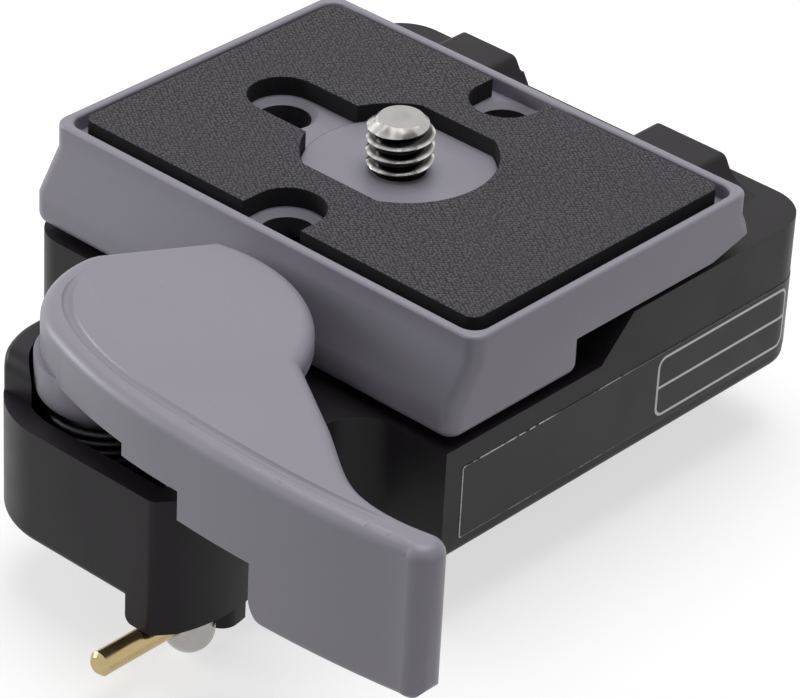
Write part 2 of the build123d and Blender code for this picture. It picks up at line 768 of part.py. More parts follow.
os.makedirs("parts", exist_ok=True)
save(make_base_body(), "base_body")
save(make_camera_plate(), "camera_plate")
save(make_rubber_pad(), "rubber_pad")
save(make_camera_screw(), "camera_screw")
save(tube(0, 0, web_bottom - washer_thick, web_bottom, screw_washer_radius, neck_radius + running),
     "screw_washer")
save(make_d_ring(), "d_ring")
save(make_lever(), "lever")
save(make_lever_spring(), "lever_spring")
save(tube(pivot_x, pivot_y, cup_floor, cup_floor + thrust_thick, hub_radius - cup_gap,
          stem_radius + running), "thrust_washer")
save(tube(pivot_x, pivot_y, stem_bottom - pivot_washer_thick, stem_bottom, pivot_washer_radius,
          pivot_shank + seated), "pivot_washer")
save(make_pivot_screw(), "pivot_screw")
save(make_safety_plunger(), "safety_plunger")
save(make_safety_pin(), "safety_pin")
save(snap_clip(catch_x, catch_y, catch_clip_z, catch_clip_radius, catch_stem - groove_depth + seated,
               catch_clip_opening),
     "safety_clip")
save(coil(catch_x, catch_y, cup_floor, catch_clip_z, catch_spring_mean, catch_spring_wire,
          catch_spring_turns), "safety_spring")
save(make_trigger_pin(), "trigger_pin")
save(snap_clip(trigger_x, trigger_y, trigger_clip_z, trigger_clip_radius,
               trigger_stem - groove_depth + seated, trigger_clip_opening), "trigger_clip")
save(make_trigger_spring(), "trigger_spring")
save(tube(0, 0, 0, bush_depth, bush_outer, bush_bore), "tripod_bushing")
save(make_reducer_bushing(), "reducer_bushing")
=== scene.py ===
"""Dresses a quick release plate for a camera: its castings, rubber pad, threads, springs and pins."""

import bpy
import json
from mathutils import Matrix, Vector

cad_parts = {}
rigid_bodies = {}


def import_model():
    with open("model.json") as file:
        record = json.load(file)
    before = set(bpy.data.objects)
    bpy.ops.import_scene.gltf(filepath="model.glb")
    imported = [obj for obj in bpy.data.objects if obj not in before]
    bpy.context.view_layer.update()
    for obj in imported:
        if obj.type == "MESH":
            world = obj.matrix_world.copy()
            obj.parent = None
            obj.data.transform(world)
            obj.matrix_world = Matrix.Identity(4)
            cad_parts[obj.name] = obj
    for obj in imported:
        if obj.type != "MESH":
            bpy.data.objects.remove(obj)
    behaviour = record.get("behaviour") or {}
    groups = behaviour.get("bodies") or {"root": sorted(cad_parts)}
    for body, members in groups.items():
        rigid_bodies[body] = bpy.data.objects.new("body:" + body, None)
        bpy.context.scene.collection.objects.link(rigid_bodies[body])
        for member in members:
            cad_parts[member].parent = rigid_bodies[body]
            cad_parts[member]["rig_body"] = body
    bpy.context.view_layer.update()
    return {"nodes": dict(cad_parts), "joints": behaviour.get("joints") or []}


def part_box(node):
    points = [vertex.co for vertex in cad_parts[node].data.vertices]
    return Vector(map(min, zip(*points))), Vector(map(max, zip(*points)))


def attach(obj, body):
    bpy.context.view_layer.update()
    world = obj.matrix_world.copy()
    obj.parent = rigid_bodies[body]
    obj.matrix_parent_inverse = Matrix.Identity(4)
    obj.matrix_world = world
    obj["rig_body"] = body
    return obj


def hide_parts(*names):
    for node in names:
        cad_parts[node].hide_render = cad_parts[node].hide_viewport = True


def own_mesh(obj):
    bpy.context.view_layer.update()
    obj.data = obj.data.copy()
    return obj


bl_info = {
    "name": "Quick release plate",
    "version": (1, 0, 0),
    "blender": (4, 5, 0),
    "location": "View3D > Sidebar > Quick plate",
    "description": "Finishes the castings, pad, screw and pins of a camera's quick release plate",
    "category": "Object",
}

import json
import math

import bmesh
import bpy
from bpy.props import FloatProperty, FloatVectorProperty, IntProperty, PointerProperty
from mathutils import Matrix, Vector

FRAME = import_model()
MM = 0.001

# Points nearer to each other than this are one point
WELD = 0.0005 * MM
# Gap left between the screw's plain stem and the thread above it
STEM_GAP = 0.1 * MM
# Steps in one turn of a thread or coil, and sides of a wire
THREAD_STEPS = 64
NUT_STEPS = 40
COIL_STEPS = 28
WIRE_SIDES = 10
# Edges of threads are shaded smooth under this angle, in degrees
THREAD_SMOOTH = 38.0
# The plate's sides bend by 33 degrees and are shaded smooth, so its angle lies above that
PLATE_SMOOTH = 36.0


def corner(node, index):
    """A node's lowest (0) or highest (1) corner, in metres."""
    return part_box(node)[index]


SCREW_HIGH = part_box("camera_screw")[1]
PAD_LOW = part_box("rubber_pad")[0]
PLATE_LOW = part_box("camera_plate")[0]
BASE_LOW, BASE_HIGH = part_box("base_body")


class CastingSizes(bpy.types.PropertyGroup):
    """How sharp the castings' edges are, and where the plate's holes and land lie."""

    base_edge: FloatProperty(
        name="Base edge", description="Rounding of the base's sharp edges", default=0.3 * MM,
        min=0.0, unit="LENGTH", precision=5)
    lever_edge: FloatProperty(
        name="Lever edge", description="Rounding of the lever's sharp edges", default=0.25 * MM,
        min=0.0, unit="LENGTH", precision=5)
    plate_edge: FloatProperty(
        name="Plate edge", description="Rounding of the plate's sharp edges", default=0.15 * MM,
        min=0.0, unit="LENGTH", precision=5)
    pad_edge: FloatProperty(
        name="Pad edge", description="Rounding of the pad's cut edges", default=0.12 * MM,
        min=0.0, unit="LENGTH", precision=5)
    steps: IntProperty(name="Steps", description="Segments of each rounding", default=3, min=1, max=8)
    land_radius: FloatProperty(
        name="Land", description="Radius of the raised land round the screw", default=9.1 * MM,
        unit="LENGTH", precision=5)
    hole_pitch: FloatProperty(
        name="Hole distance", description="Distance of the side holes from the screw", default=14.7 * MM,
        unit="LENGTH", precision=5)
    hole_radius: FloatProperty(
        name="Hole radius", description="Radius of the side holes", default=2.65 * MM,
        unit="LENGTH", precision=5)


class ThreadSizes(bpy.types.PropertyGroup):
    """The quarter inch camera thread, on the screw and in the tripod bushing."""

    pitch: FloatProperty(
        name="Pitch", description="Rise of the thread in one turn", default=1.27 * MM,
        unit="LENGTH", precision=5)
    radius: FloatProperty(
        name="Radius", description="Outer radius of the thread", default=3.175 * MM,
        unit="LENGTH", precision=5)
    depth: FloatProperty(
        name="Depth", description="Depth of the thread", default=0.70 * MM, unit="LENGTH", precision=5)
    lead: FloatProperty(
        name="Lead-in", description="Height of the bevel at the screw's tip", default=0.95 * MM,
        unit="LENGTH", precision=5)
    lead_slope: FloatProperty(
        name="Lead-in slope", description="How far the bevel goes in for its height", default=1.13)
    first_groove: FloatProperty(
        name="First groove", description="Depth of the first groove below the tip, in line with +X",
        default=1.13 * MM, unit="LENGTH", precision=5)
    turns: IntProperty(name="Turns", description="Turns of thread above the plate", default=5, min=1)
    neck: FloatProperty(
        name="Neck", description="Height of the plain neck above the plate's floor", default=0.6 * MM,
        unit="LENGTH", precision=5)
    run_out: FloatProperty(
        name="Run-out", description="Height over which the thread's lower end narrows", default=0.5 * MM,
        unit="LENGTH", precision=5)
    nut_depth: FloatProperty(
        name="Inner depth", description="Depth of the thread in the tripod bushing", default=0.62 * MM,
        unit="LENGTH", precision=5)
    nut_low: FloatProperty(
        name="Inner start", description="Height at which the tripod bushing's thread starts",
        default=1.15 * MM, unit="LENGTH", precision=5)


class LabelSizes(bpy.types.PropertyGroup):
    """The bare film label round the base's end, and the printed frame on it."""

    near: FloatProperty(
        name="Near end", description="Where the label starts along Y", default=-19.75 * MM,
        subtype="DISTANCE", precision=5)
    length: FloatProperty(
        name="Length", description="Length of the label round the corner", default=49.5 * MM,
        unit="LENGTH", precision=5)
    low: FloatProperty(
        name="Lower edge", description="Height of the label's lower edge", default=1.6 * MM,
        unit="LENGTH", precision=5)
    high: FloatProperty(
        name="Upper edge", description="Height of the label's upper edge", default=9.15 * MM,
        unit="LENGTH", precision=5)
    thick: FloatProperty(
        name="Thickness", description="Thickness of the film", default=0.05 * MM,
        unit="LENGTH", precision=5)
    hem: FloatProperty(
        name="Worn edge", description="Width of the film's worn edge", default=0.10 * MM,
        unit="LENGTH", precision=5)
    film_corner: FloatProperty(
        name="Film corner", description="Radius of the film's corners", default=0.3 * MM,
        unit="LENGTH", precision=5)
    bend: FloatProperty(
        name="Corner", description="Radius of the base's corner that the label goes round",
        default=4.7 * MM, unit="LENGTH", precision=5)
    frame_near: FloatProperty(
        name="Frame start", description="Where the printed frame starts along Y", default=7.0 * MM,
        subtype="DISTANCE", precision=5)
    frame_length: FloatProperty(
        name="Frame length", description="Length of the printed frame", default=19.0 * MM,
        unit="LENGTH", precision=5)
    frame_edge: FloatProperty(
        name="Frame margin", description="Film above and below the printed frame", default=0.55 * MM,
        unit="LENGTH", precision=5)
    frame_corner: FloatProperty(
        name="Frame corner", description="Radius of the printed frame's corners", default=1.1 * MM,
        unit="LENGTH", precision=5)
    line: FloatProperty(
        name="Line", description="Width of the printed lines", default=0.28 * MM,
        unit="LENGTH", precision=5)
    ink: FloatProperty(
        name="Ink", description="Thickness of the print", default=0.012 * MM, unit="LENGTH", precision=5)


class SpringSizes(bpy.types.PropertyGroup):
    """Wire and turns of the three springs."""

    lever_wire: FloatProperty(
        name="Lever wire", description="Radius of the lever spring's wire", default=0.55 * MM,
        unit="LENGTH", precision=5)
    lever_turns: IntProperty(
        name="Lever turns", description="Turns of the lever's spring", default=5, min=1)
    safety_wire: FloatProperty(
        name="Safety wire", description="Radius of the safety spring's wire", default=0.28 * MM,
        unit="LENGTH", precision=5)
    safety_turns: IntProperty(
        name="Safety turns", description="Turns of the safety catch's spring", default=5, min=1)
    trigger_wire: FloatProperty(
        name="Trigger wire", description="Radius of the trigger spring's wire", default=0.22 * MM,
        unit="LENGTH", precision=5)
    trigger_turns: IntProperty(
        name="Trigger turns", description="Turns of the trigger's spring", default=6, min=1)


class PadGrain(bpy.types.PropertyGroup):
    """The fine raised grain of the rubber pad."""

    grain: FloatProperty(
        name="Grain", description="Distance between the dots", default=0.38 * MM,
        unit="LENGTH", precision=5)
    grain_turn: FloatProperty(
        name="Turn", description="Slant of the rows of dots", default=math.radians(38), subtype="ANGLE")
    grain_stretch: FloatProperty(
        name="Stretch", description="How much closer the rows lie than the dots in them", default=1.25)
    grain_jitter: FloatProperty(name="Jitter", description="How uneven the dots lie", default=0.55)


class FinishColours(bpy.types.PropertyGroup):
    """Colours of the finishes."""

    black: FloatVectorProperty(
        name="Black coat", description="Powder coat of the base", subtype="COLOR", size=3,
        default=(0.0120, 0.0095, 0.0120), min=0.0, max=1.0)
    grey: FloatVectorProperty(
        name="Grey paint", description="Paint of the plate and lever", subtype="COLOR", size=3,
        default=(0.264, 0.250, 0.295), min=0.0, max=1.0)
    rubber: FloatVectorProperty(
        name="Rubber", description="Pad on the plate", subtype="COLOR", size=3,
        default=(0.053, 0.049, 0.057), min=0.0, max=1.0)
    nickel: FloatVectorProperty(
        name="Nickel", description="Camera screw and plunger", subtype="COLOR", size=3,
        default=(0.46, 0.445, 0.43), min=0.0, max=1.0)
    brass: FloatVectorProperty(
        name="Brass", description="Safety pin and trigger pin", subtype="COLOR", size=3,
        default=(0.52, 0.40, 0.20), min=0.0, max=1.0)
    # Also the colour of the painted glints along the base's edges
    bare: FloatVectorProperty(
        name="Bare metal", description="Metal where the coat is rubbed off", subtype="COLOR", size=3,
        default=(0.34, 0.33, 0.31), min=0.0, max=1.0)
    print_white: FloatVectorProperty(
        name="Print", description="White lines printed on the base's end", subtype="COLOR", size=3,
        default=(0.86, 0.86, 0.86), min=0.0, max=1.0)


class StageSizes(bpy.types.PropertyGroup):
    """Camera, floor and even light."""

    lens: FloatProperty(
        name="Lens", description="Focal length for a 36 mm sensor", default=195.69, unit="CAMERA")
    azimuth: FloatProperty(
        name="Azimuth", description="Turn of the camera round the object", default=math.radians(40.947),
        subtype="ANGLE")
    elevation: FloatProperty(
        name="Elevation", description="Height of the camera as an angle", default=math.radians(32.139),
        subtype="ANGLE")
    roll: FloatProperty(
        name="Roll", description="Tilt of the picture", default=math.radians(3.102), subtype="ANGLE")
    place: FloatVectorProperty(
        name="Camera", description="Place of the camera", subtype="TRANSLATION", size=3,
        default=(0.228168, -0.261460, 0.218696), precision=5)
    floor_colour: FloatVectorProperty(
        name="Floor", description="Pale floor and backdrop", subtype="COLOR", size=3,
        default=(0.50, 0.50, 0.50))
    floor_glow: FloatProperty(
        name="Floor glow", description="How much lighter the floor is where it is seen or mirrored",
        default=0.62)
    even_light: FloatProperty(
        name="Even light", description="Strength of the light from all round", default=0.27)


# Name, place, width and power of each lamp, and the point that they all face
LAMPS = (
    ("overhead", (-0.05, 0.10, 0.55), 0.45, 1.95),
    ("left", (-0.50, -0.25, 0.16), 0.25, 1.35),
    ("right", (0.45, -0.05, 0.25), 0.30, 0.10),
)
LAMP_AIM = (0.0, -0.005, 0.01)
# The rays that see or mirror what they hit, rather than light the object
SEEING_RAYS = ("Is Camera Ray", "Is Glossy Ray", "Is Transmission Ray")


class Term:
    """A socket in a material's nodes. Arithmetic on it adds Math nodes."""

    def __init__(self, finish, socket):
        self.finish = finish
        self.socket = socket

    def _math(self, operation, first, second):
        return self.finish.add("ShaderNodeMath", {"operation": operation}, {0: first, 1: second})

    def __add__(self, other):
        return self._math("ADD", self, other)

    __radd__ = __add__

    def __sub__(self, other):
        return self._math("SUBTRACT", self, other)

    def __rsub__(self, other):
        return self._math("SUBTRACT", other, self)

    def __mul__(self, other):
        return self._math("MULTIPLY", self, other)

    def __pow__(self, other):
        return self._math("POWER", self, other)

    def __gt__(self, other):
        return self._math("GREATER_THAN", self, other)


class Finish:
    """A material being made: a Principled shader with nodes added in front of it."""

    def __init__(self, name, slot, **fixed):
        self.slot = slot
        self.material = bpy.data.materials.new(name)
        self.material.use_nodes = True
        self.tree = self.material.node_tree
        self.shader = self.tree.nodes["Principled BSDF"]
        for socket, value in fixed.items():
            self.shader.inputs[socket.replace("_", " ")].default_value = value

    def add(self, kind, settings=None, sockets=None, out=0):
        """Adds a node, sets it up and gives its output."""
        node = self.tree.nodes.new(kind)
        for name, value in (settings or {}).items():
            setattr(node, name, value)
        for key, value in (sockets or {}).items():
            self.join(value, node.inputs[key])
        return Term(self, node.outputs[out])

    def join(self, value, socket):
        """Feeds a socket from another node, or sets its own value."""
        if isinstance(value, Term):
            self.tree.links.new(value.socket, socket)
        elif socket.type == "RGBA" and len(value) == 3:
            socket.default_value = (*value, 1.0)
        else:
            socket.default_value = value

    def drive(self, socket, value):
        """Feeds one of the shader's sockets."""
        self.join(value, self.shader.inputs[socket])

    def place(self):
        """Where a point lies on the object."""
        return self.add("ShaderNodeTexCoord", out="Object")

    def axes(self, vector):
        split = self.tree.nodes.new("ShaderNodeSeparateXYZ")
        self.join(vector, split.inputs[0])
        return [Term(self, socket) for socket in split.outputs]

    def noise(self, vector, scale, detail=2.0):
        sockets = {"Vector": vector, "Scale": scale, "Detail": detail}
        return self.add("ShaderNodeTexNoise", {}, sockets, "Fac")

    def ramp(self, value, low, high, start=0.0, end=1.0):
        """Smooth step of a value from one level to another."""
        return self.add("ShaderNodeMapRange", {"interpolation_type": "SMOOTHSTEP"}, {
            "Value": value, "From Min": low, "From Max": high, "To Min": start, "To Max": end})

    def mix(self, factor, first, second):
        """A colour between two others."""
        node = self.tree.nodes.new("ShaderNodeMix")
        node.data_type = "RGBA"
        for name, value in (("Factor_Float", factor), ("A_Color", first), ("B_Color", second)):
            self.join(value, next(s for s in node.inputs if s.identifier == name))
        return Term(self, next(s for s in node.outputs if s.identifier == "Result_Color"))

    def wave(self, value):
        return self.add("ShaderNodeMath", {"operation": "SINE"}, {0: value})

    def least(self, first, second):
        return self.add("ShaderNodeMath", {"operation": "MINIMUM"}, {0: first, 1: second})

    def bump(self, height, distance, strength):
        sockets = {"Height": height, "Distance": distance, "Strength": strength}
        return self.add("ShaderNodeBump", {}, sockets)


def settings():
    """The scene's sizes and colours of the quick release plate."""
    return bpy.context.scene.quick_plate


def shade(colour, amount):
    """A colour made lighter or darker by a factor."""
    return tuple(min(1.0, c * amount) for c in colour)


def grey_paint():
    """Satin grey paint on a die casting: fine orange peel, faint clouds and a few dust specks."""
    colour = settings().colours.grey
    f = Finish("grey_paint", "grey_casting", Roughness=0.42, Specular_IOR_Level=0.5)
    here = f.place()
    clouds = f.noise(here, 90.0, 3.0)
    specks = f.ramp(f.noise(here, 2600.0, 1.0), 0.74, 0.80)
    base = f.mix(clouds, shade(colour, 0.96), shade(colour, 1.04))
    f.drive("Base Color", f.mix(specks * 0.35, base, shade(colour, 1.35)))
    f.drive("Roughness", f.ramp(clouds, 0.3, 0.7, 0.38, 0.46))
    peel = f.noise(here, 1500.0, 2.0)
    f.drive("Normal", f.bump(peel, 0.008 * MM, 0.6))
    return f


def plate_paint_gap_shade():
    """The grey paint, with a thin line of painted shade in the gap round the raised land."""
    sizes = settings().castings
    f = grey_paint()
    x, y, z = f.axes(f.place())
    radius = (x ** 2 + y ** 2) ** 0.5
    gap_radius = sizes.land_radius + 0.06 * MM
    off = f.add("ShaderNodeMath", {"operation": "ABSOLUTE"}, {0: radius - gap_radius})
    # Painted shade: a thin dark line in the gap at the land's edge
    line = f.ramp(off, 0.07 * MM, 0.17 * MM, 1.0, 0.0) * (z > PAD_LOW.z - 0.1 * MM)
    painted = f.shader.inputs["Base Color"].links[0].from_socket
    f.drive("Base Color", f.mix(line * 0.92, Term(f, painted), shade(settings().colours.grey, 0.15)))
    return f


def shaded_hole_wall():
    """Walls of the plate's side holes, painted dark as painted shade inside the holes."""
    colour = settings().colours.grey
    f = Finish("shaded_hole_wall", "grey_casting", Roughness=0.6, Specular_IOR_Level=0.3)
    clouds = f.noise(f.place(), 900.0, 3.0)
    # Painted shade: a very dark copy of the grey paint
    f.drive("Base Color", f.mix(clouds, shade(colour, 0.08), shade(colour, 0.22)))
    f.drive("Roughness", f.ramp(clouds, 0.3, 0.7, 0.5, 0.7))
    return f


def black_coat():
    """Satin black coat: fine grain and faint clouds."""
    colour = settings().colours.black
    f = Finish("black_coat", "black_casting", Roughness=0.42, Specular_IOR_Level=0.19)
    here = f.place()
    clouds = f.noise(here, 120.0, 2.0)
    f.drive("Base Color", f.mix(clouds, shade(colour, 0.85), shade(colour, 1.15)))
    f.drive("Roughness", f.ramp(clouds, 0.3, 0.7, 0.37, 0.46))
    f.drive("Normal", f.bump(f.noise(here, 2200.0, 3.0), 0.010 * MM, 0.7))
    return f


def worn_coat_and_glints():
    """The coat along the base's edges: a lighter copy of the black coat as painted sheen, rubbed through
    in specks at the cup and at the bottom; the pale specks are partly wear and partly painted glints.
    """
    colour = settings().colours.black
    f = Finish("worn_coat_and_glints", "black_casting", Roughness=0.40, Specular_IOR_Level=0.34)
    here = f.place()
    x, y, z = f.axes(here)
    cup = f.ramp(y, PLATE_LOW.y - 2 * MM, PLATE_LOW.y - 4 * MM)
    bottom = f.ramp(z, 1.2 * MM, 0.6 * MM)
    patches = f.ramp(f.noise(here, 260.0, 2.0), 0.44, 0.60)
    specks = f.ramp(f.noise(here, 1900.0, 2.0), 0.50, 0.58)
    # Pale specks: partly rubbed-through wear, partly painted glints on the edges
    rubbed = f.least(specks * patches * (cup + bottom + 0.25), 1.0)
    f.drive("Base Color", f.mix(rubbed * 0.8, shade(colour, 1.3), settings().colours.bare))
    f.drive("Roughness", f.ramp(rubbed, 0.0, 1.0, 0.40, 0.30))
    f.drive("Normal", f.bump(f.noise(here, 2200.0, 3.0), 0.010 * MM, 0.7))
    return f


def pad_rubber():
    """Grey-black rubber with a fine grain of raised dots in slanting rows, painted lighter on the dots
    and darker between them as painted light and shade, with painted glints on a few dots.
    """
    sizes = settings().pad
    colour = settings().colours.rubber
    f = Finish("pad_rubber", "pad_rubber", Roughness=0.80, Specular_IOR_Level=0.35)
    here = f.place()
    rows = f.add("ShaderNodeMapping", {}, {
        "Vector": here, "Rotation": (0.0, 0.0, sizes.grain_turn),
        "Scale": (1.0, sizes.grain_stretch, 1.0)})
    dots = {"feature": "F1", "voronoi_dimensions": "2D"}
    sockets = {"Vector": rows, "Scale": 1.0 / sizes.grain, "Randomness": sizes.grain_jitter}
    hill = 1.0 - f.add("ShaderNodeTexVoronoi", dots, sockets, "Distance")
    tone = f.add("ShaderNodeTexVoronoi", dots, sockets, "Color")
    level = f.axes(tone)[0]
    fibre = f.noise(here, 5200.0, 2.0)
    clouds = f.noise(here, 160.0, 2.0)
    # Painted light and shade: the colour follows the dots' height, light on top and dark between them
    height = f.ramp(hill, 0.42, 0.90) * (0.50 + level * 0.50) + fibre * 0.30
    base = f.mix(f.ramp(height, 0.08, 1.00), shade(colour, 0.18), shade(colour, 1.95))
    base = f.mix(f.ramp(clouds, 0.3, 0.7) * 0.25, base, shade(colour, 0.80))
    # Painted glints on a few of the dots
    glint = f.ramp(level, 0.975, 0.990) * f.ramp(hill, 0.70, 0.90)
    f.drive("Base Color", f.mix(glint * 0.40, base, (0.17, 0.165, 0.18)))
    f.drive("Normal", f.bump(height, 0.05 * MM, 0.8))
    return f


def shaded_cut_rubber():
    """The pad's cut walls: plain and matt, and darker than its top as painted shade."""
    colour = settings().colours.rubber
    f = Finish("shaded_cut_rubber", "pad_rubber", Roughness=0.92, Specular_IOR_Level=0.2)
    grain = f.noise(f.place(), 2400.0, 3.0)
    f.drive("Base Color", f.mix(grain, shade(colour, 0.12), shade(colour, 0.30)))
    f.drive("Normal", f.bump(grain, 0.03 * MM, 0.8))
    return f


def label_film():
    """Smooth black film of the label on the base's end."""
    colour = settings().colours.black
    f = Finish("label_film", "black_casting", Roughness=0.36, Specular_IOR_Level=0.22)
    here = f.place()
    clouds = f.noise(here, 200.0, 2.0)
    f.drive("Base Color", f.mix(clouds, shade(colour, 0.95), shade(colour, 1.25)))
    f.drive("Roughness", f.ramp(clouds, 0.3, 0.7, 0.32, 0.42))
    return f


def label_hem():
    """The film's cut edge, where pale specks show through."""
    colour = settings().colours.black
    sizes = settings().label
    f = Finish("label_hem", "black_casting", Roughness=0.5)
    here = f.place()
    x, y, z = f.axes(here)
    upper = f.ramp(z, (sizes.low + sizes.high) / 2, sizes.high - 0.5 * MM, 0.35, 1.0)
    left = f.ramp(y, sizes.near + 0.5 * MM, sizes.near + 0.2 * MM)
    worn = f.ramp(y, sizes.frame_near - 12 * MM, sizes.frame_near - 1 * MM, 1.0, 0.1) * upper
    specks = f.ramp(f.noise(here, 1500.0, 2.0), 0.40, 0.50)
    patches = f.ramp(f.noise(here, 140.0, 1.0), 0.34, 0.56)
    pale = f.least(specks * patches * worn + left * 0.7, 1.0)
    f.drive("Base Color", f.mix(pale, shade(colour, 1.2), settings().colours.print_white))
    return f


def turned_metal(name, slot, colour, roughness, centre=(0.0, 0.0), roots=None):
    """Bright metal with fine rings round its upright axis.

    For a thread, roots gives the radii between which its painted shade in the roots fades out, the height
    that this painted shade stays below, and the height of the screw's flat end. Below that end the side
    also gets pale and dark streaks as painted reflections.
    """
    f = Finish(name, slot, Metallic=1.0, Roughness=roughness)
    here = f.place()
    x, y, z = f.axes(here)
    radius = ((x - centre[0]) ** 2 + (y - centre[1]) ** 2) ** 0.5
    rings = f.wave(radius * (2 * math.pi / (0.11 * MM)) + f.noise(here, 500.0) * 3)
    clouds = f.noise(here, 700.0, 3.0)
    base = f.mix(clouds, shade(colour, 0.90), shade(colour, 1.06))
    if roots:
        inner, outer, collar, top = roots
        drawn = f.add("ShaderNodeMapping", {}, {"Vector": here, "Scale": (1.0, 1.0, 0.08)})
        # Painted reflections: pale and dark streaks drawn down the side below the flat end
        side = f.ramp(z, top - 0.03 * MM, top - 0.06 * MM)
        end = f.ramp(z, top - 0.06 * MM, top - 0.03 * MM)
        pale = f.ramp(f.noise(drawn, 520.0, 3.0), 0.40, 0.60) * side
        base = f.mix(pale * 0.75, base, shade(colour, 2.0))
        dark = f.ramp(f.noise(drawn, 330.0, 2.0), 0.50, 0.62) * side
        base = f.mix(dark * 0.85, base, shade(colour, 0.12))
        faced = f.ramp(radius, 0.5 * MM, 1.2 * MM, 1.0, 0.0) * end
        base = f.mix(f.ramp(rings, 0.0, 1.0) * faced * 0.5, base, shade(colour, 0.4))
        # Painted shade in the thread's roots, below the bevel
        painted_root_shade = f.ramp(radius, inner, outer, 1.0, 0.0) * f.ramp(z, collar - 0.2 * MM, collar, 1.0, 0.0)
        base = f.mix(painted_root_shade * 0.95, base, (0.015, 0.015, 0.015))
    f.drive("Base Color", base)
    f.drive("Roughness", f.ramp(clouds, 0.25, 0.75, roughness * 0.8, roughness * 1.3))
    f.drive("Normal", f.bump(rings * 0.25 + clouds, 0.004 * MM, 0.6))
    return f


def drawn_metal(name, slot, colour, roughness):
    """Plain drawn or pressed metal with faint clouds."""
    f = Finish(name, slot, Metallic=1.0, Roughness=roughness)
    here = f.place()
    clouds = f.noise(here, 800.0, 3.0)
    f.drive("Base Color", f.mix(clouds, shade(colour, 0.85), shade(colour, 1.08)))
    f.drive("Roughness", f.ramp(clouds, 0.25, 0.75, roughness * 0.8, roughness * 1.25))
    f.drive("Normal", f.bump(clouds, 0.006 * MM, 0.5))
    return f


def nylon():
    """Black nylon with faint clouds."""
    f = Finish("nylon", "nylon", Roughness=0.5)
    here = f.place()
    clouds = f.noise(here, 900.0, 2.0)
    f.drive("Base Color", f.mix(clouds, (0.012, 0.012, 0.013), (0.020, 0.020, 0.022)))
    f.drive("Roughness", f.ramp(clouds, 0.3, 0.7, 0.42, 0.55))
    return f


def white_print():
    """White printing ink, slightly uneven at the edge of each line."""
    colour = settings().colours.print_white
    f = Finish("white_print", "black_casting", Roughness=0.55)
    here = f.place()
    grain = f.noise(here, 3000.0, 2.0)
    f.drive("Base Color", f.mix(grain, shade(colour, 0.92), colour))
    return f


def new_object(name, mesh):
    """A new object in the scene, unturned at the origin."""
    piece = bpy.data.objects.new(name, mesh)
    bpy.context.scene.collection.objects.link(piece)
    return piece


def dress(piece, finish, body, *nodes):
    """Gives a piece its finish and its body, and lets it stand for CAD nodes."""
    piece.data.materials.append(finish.material)
    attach(piece, body)
    if nodes:
        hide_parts(*nodes)
    return piece


def merged_copy(node):
    """A CAD node's shape as a joined mesh with flat faces made whole."""
    bm = bmesh.new()
    bm.from_mesh(FRAME["nodes"][node].data)
    bmesh.ops.remove_doubles(bm, verts=bm.verts, dist=WELD)
    bmesh.ops.dissolve_degenerate(bm, dist=WELD, edges=bm.edges)
    bmesh.ops.dissolve_limit(
        bm, angle_limit=math.radians(0.6), use_dissolve_boundaries=False, verts=bm.verts, edges=bm.edges,
        delimit={"NORMAL"})
    return bm


def finish_mesh(bm, name, smooth_under=35.0):
    """Writes a bmesh to a new object, shaded smooth where its faces meet below an angle in degrees."""
    limit = math.radians(smooth_under)
    for edge in bm.edges:
        edge.smooth = len(edge.link_faces) != 2 or edge.calc_face_angle(0.0) < limit
    for face in bm.faces:
        face.smooth = True
    mesh = bpy.data.meshes.new(name)
    bm.to_mesh(mesh)
    bm.free()
    return new_object(name, mesh)


def soften(piece, width, steps, material=-1, sharp_over=32.0):
    """Rounds a piece's edges that bend by more than an angle, and keeps its flat faces flat."""
    rounding = piece.modifiers.new("rounding", "BEVEL")
    rounding.width = width
    rounding.segments = steps
    rounding.limit_method = "ANGLE"
    rounding.angle_limit = math.radians(sharp_over)
    rounding.use_clamp_overlap = True
    rounding.harden_normals = True
    rounding.material = material


class QUICKPLATE_OT_castings(bpy.types.Operator):
    """Base, plate and lever, each a painted die casting with softened edges"""

    bl_idname = "quick_plate.castings"
    bl_label = "Castings"

    def execute(self, context):
        sizes = settings().castings
        base = finish_mesh(merged_copy("base_body"), "base_casting")
        soften(base, sizes.base_edge, sizes.steps, 1)
        dress(base, black_coat(), "base", "base_body")
        # The base's bevels take the worn coat, with its painted sheen and glints
        base.data.materials.append(worn_coat_and_glints().material)
        lever = finish_mesh(merged_copy("lever"), "lever_casting")
        soften(lever, sizes.lever_edge, sizes.steps)
        dress(lever, grey_paint(), "lever_arm", "lever")
        bm = merged_copy("camera_plate")
        pitch = sizes.hole_pitch
        holes = [Vector(place) for place in ((-pitch, 0), (0, pitch), (0, -pitch))]
        # Walls of the side holes take the second material, which paints shade into them
        for face in bm.faces:
            near = min((face.calc_center_median().xy - hole).length for hole in holes)
            in_hole = near < sizes.hole_radius and abs(face.normal.z) < 0.3
            face.material_index = 1 if in_hole else 0
        plate = finish_mesh(bm, "plate_casting", PLATE_SMOOTH)
        soften(plate, sizes.plate_edge, sizes.steps, sharp_over=PLATE_SMOOTH)
        dress(plate, plate_paint_gap_shade(), "base", "camera_plate")
        plate.data.materials.append(shaded_hole_wall().material)
        return {"FINISHED"}


class QUICKPLATE_OT_pad(bpy.types.Operator):
    """Rubber pad on the plate"""

    bl_idname = "quick_plate.pad"
    bl_label = "Rubber pad"

    def execute(self, context):
        sizes = settings().castings
        bm = merged_copy("rubber_pad")
        # Upward faces take the rubber; the walls take a darker copy, which is painted shade
        for face in bm.faces:
            face.material_index = 0 if face.normal.z > 0.5 else 1
        piece = finish_mesh(bm, "grip_pad")
        soften(piece, sizes.pad_edge, 2)
        dress(piece, pad_rubber(), "base", "rubber_pad")
        piece.data.materials.append(shaded_cut_rubber().material)
        return {"FINISHED"}


